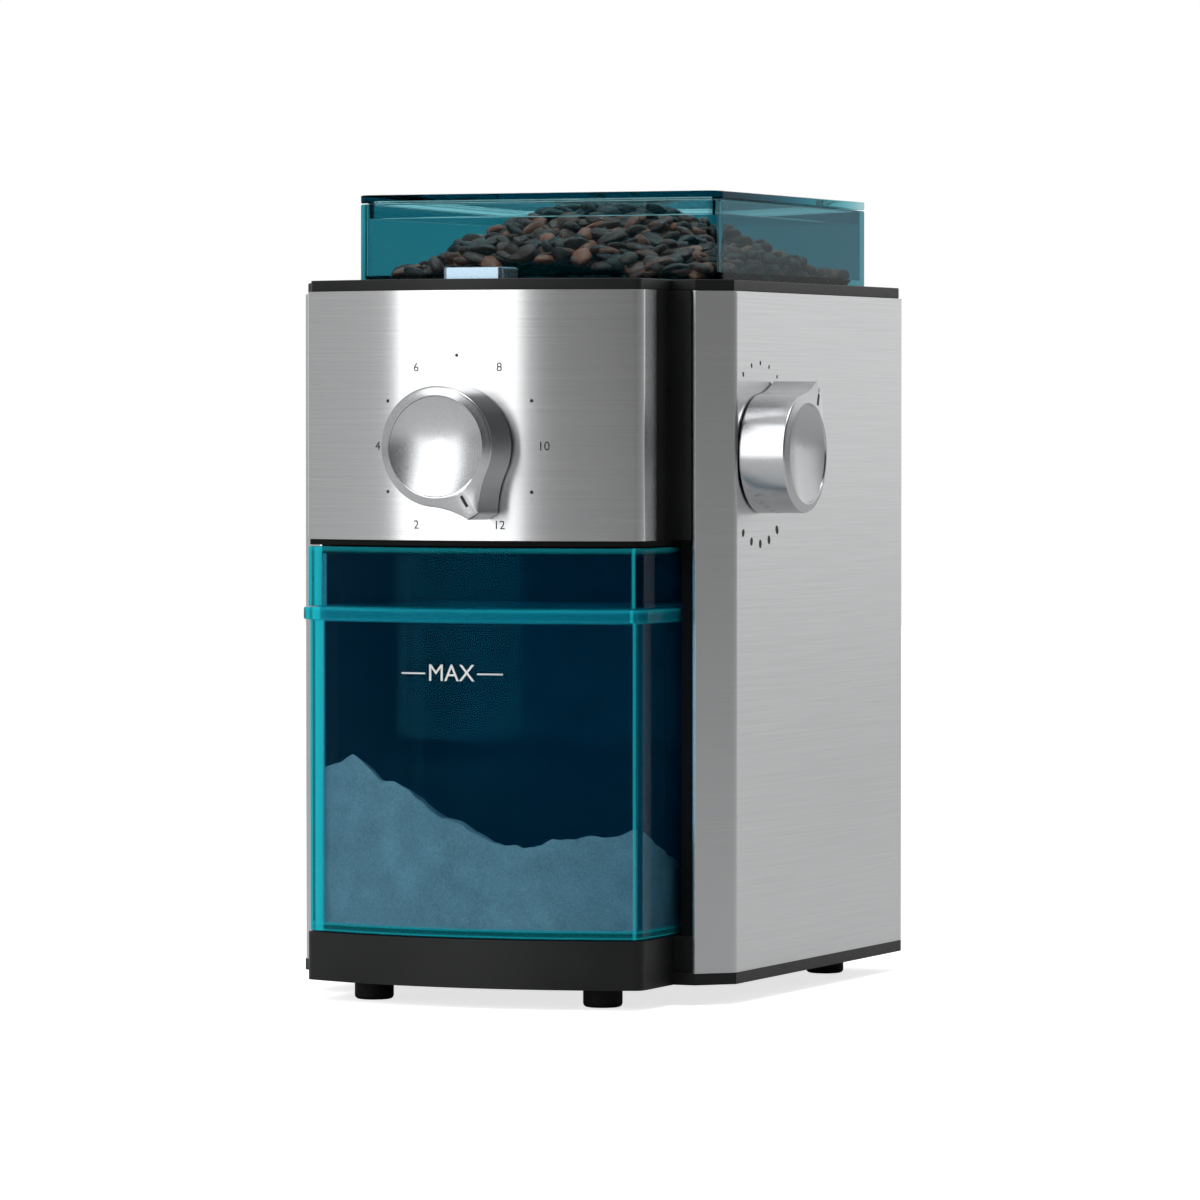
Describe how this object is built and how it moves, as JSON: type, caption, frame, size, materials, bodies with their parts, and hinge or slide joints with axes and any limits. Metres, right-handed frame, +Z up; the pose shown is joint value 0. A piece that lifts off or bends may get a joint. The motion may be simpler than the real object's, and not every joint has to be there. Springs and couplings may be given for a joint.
{
  "type": "burr coffee grinder",
  "caption": "Upright electric burr coffee grinder with a lift-off bean hopper, a clear grounds container, a front dial, a side grind knob and a top button.",
  "frame": {"origin": "centre of the footprint of the whole part, at the height of the table", "axes": "+Z up, -Y to the front with the dial, +X to the side with the grind knob"},
  "size_m": [0.1688, 0.2188, 0.26],
  "materials": {
    "black_plastic": "fine grained",
    "rubber": "matte",
    "steel_skin": "brushed",
    "zinc_screw": "zinc plated",
    "die_cast": "as cast",
    "lamination": "stacked sheet",
    "enamelled_copper": "enamelled wire",
    "copper_segments": "turned",
    "phenolic": "moulded",
    "carbon": "pressed",
    "bearing_steel": "ground",
    "burr_steel": "hardened, ground",
    "felt": "felted",
    "board": "lacquered",
    "component": "moulded",
    "fan_plastic": "moulded",
    "acetal": "turned",
    "silver_plastic": "metallic lacquer",
    "white_mark": "printed",
    "button_plastic": "metallic lacquer",
    "spring_steel": "drawn wire",
    "smoke_clear": "clear tinted",
    "hopper_clear": "clear tinted"
  },
  "bodies": {
    "housing": {"base": "black_plastic", "rubber_feet": "rubber", "base_screws": "zinc_screw", "steel_sleeve": "steel_skin", "core_frame": "black_plastic", "front_carrier": "black_plastic", "front_panel": "steel_skin", "top_deck": "black_plastic", "deck_screws": "zinc_screw", "support_posts": "black_plastic", "motor_plate": "die_cast", "motor_dampers": "rubber", "lower_damper": "rubber", "stator": "lamination", "field_coils": "enamelled_copper", "lower_bracket": "die_cast", "upper_bracket": "die_cast", "bearings": "bearing_steel", "motor_bolts": "zinc_screw", "brush_holders": "phenolic", "carbon_brushes": "carbon", "grind_chamber": "die_cast", "chamber_screws": "zinc_screw", "chamber_seal": "felt", "grounds_chute": "black_plastic", "timer_unit": "component", "timer_nut": "zinc_screw", "control_board": "board", "board_parts": "component", "button_guide": "black_plastic", "start_switch": "component", "hopper_switch": "component", "container_switch": "component", "grind_bush": "black_plastic", "cord_gland": "rubber", "button_spring": "spring_steel"},
    "rotor": {"motor_shaft": "bearing_steel", "armature_core": "lamination", "armature_windings": "enamelled_copper", "commutator": "copper_segments", "cooling_fan": "fan_plastic", "sweeper": "fan_plastic", "lower_burr": "burr_steel", "burr_nut": "zinc_screw"},
    "burr_lift": {"burr_carrier": "die_cast", "upper_burr": "burr_steel", "burr_screws": "zinc_screw"},
    "dial": {"dial_knob": "silver_plastic", "dial_shaft": "bearing_steel", "dial_index": "white_mark"},
    "grind_control": {"grind_knob": "silver_plastic", "grind_shaft": "bearing_steel", "grind_cam": "acetal", "grind_index": "white_mark"},
    "button": {"start_button": "button_plastic"},
    "container": {"grounds_container": "smoke_clear", "container_lid": "smoke_clear"},
    "bean_hopper": {"hopper": "hopper_clear"},
    "bean_lid": {"hopper_lid": "hopper_clear"}
  },
  "joints": [
    {"name": "rotor_spin", "type": "hinge", "parent": "housing", "child": "rotor", "pos_m": [-0.0084, 0.0387, 0.1], "axis": [0, 0, 1], "continuous": true},
    {"name": "dial_turn", "type": "hinge", "parent": "housing", "child": "dial", "pos_m": [-0.0084, -0.0926, 0.178], "axis": [0, -1, 0], "range_deg": [0, 300]},
    {"name": "grind_turn", "type": "hinge", "parent": "housing", "child": "grind_control", "pos_m": [0.0676, -0.0246, 0.1756], "axis": [1, 0, 0], "range_deg": [-182.5, 61]},
    {"name": "burr_lift_slide", "type": "slide", "parent": "housing", "child": "burr_lift", "axis": [0, 0, 1], "range_m": [-0.0003, 0.0009]},
    {"name": "button_press", "type": "slide", "parent": "housing", "child": "button", "axis": [0, 0, -1], "range_m": [0, 0.0015], "stiffness_N_per_m": 300, "springref_m": -0.002, "deforming": ["button_spring"]},
    {"name": "container_out", "type": "slide", "parent": "housing", "child": "container", "axis": [0, -1, 0], "range_m": [0, 0.12]},
    {"name": "hopper_lift", "type": "slide", "parent": "housing", "child": "bean_hopper", "axis": [0, 0, 1], "range_m": [0, 0.07]},
    {"name": "lid_lift", "type": "slide", "parent": "bean_hopper", "child": "bean_lid", "axis": [0, 0, 1], "range_m": [0, 0.05]}
  ],
  "couplings": [
    {"joint": "grind_turn", "follows": "burr_lift_slide", "rad_per_m": -3534.3}
  ]
}
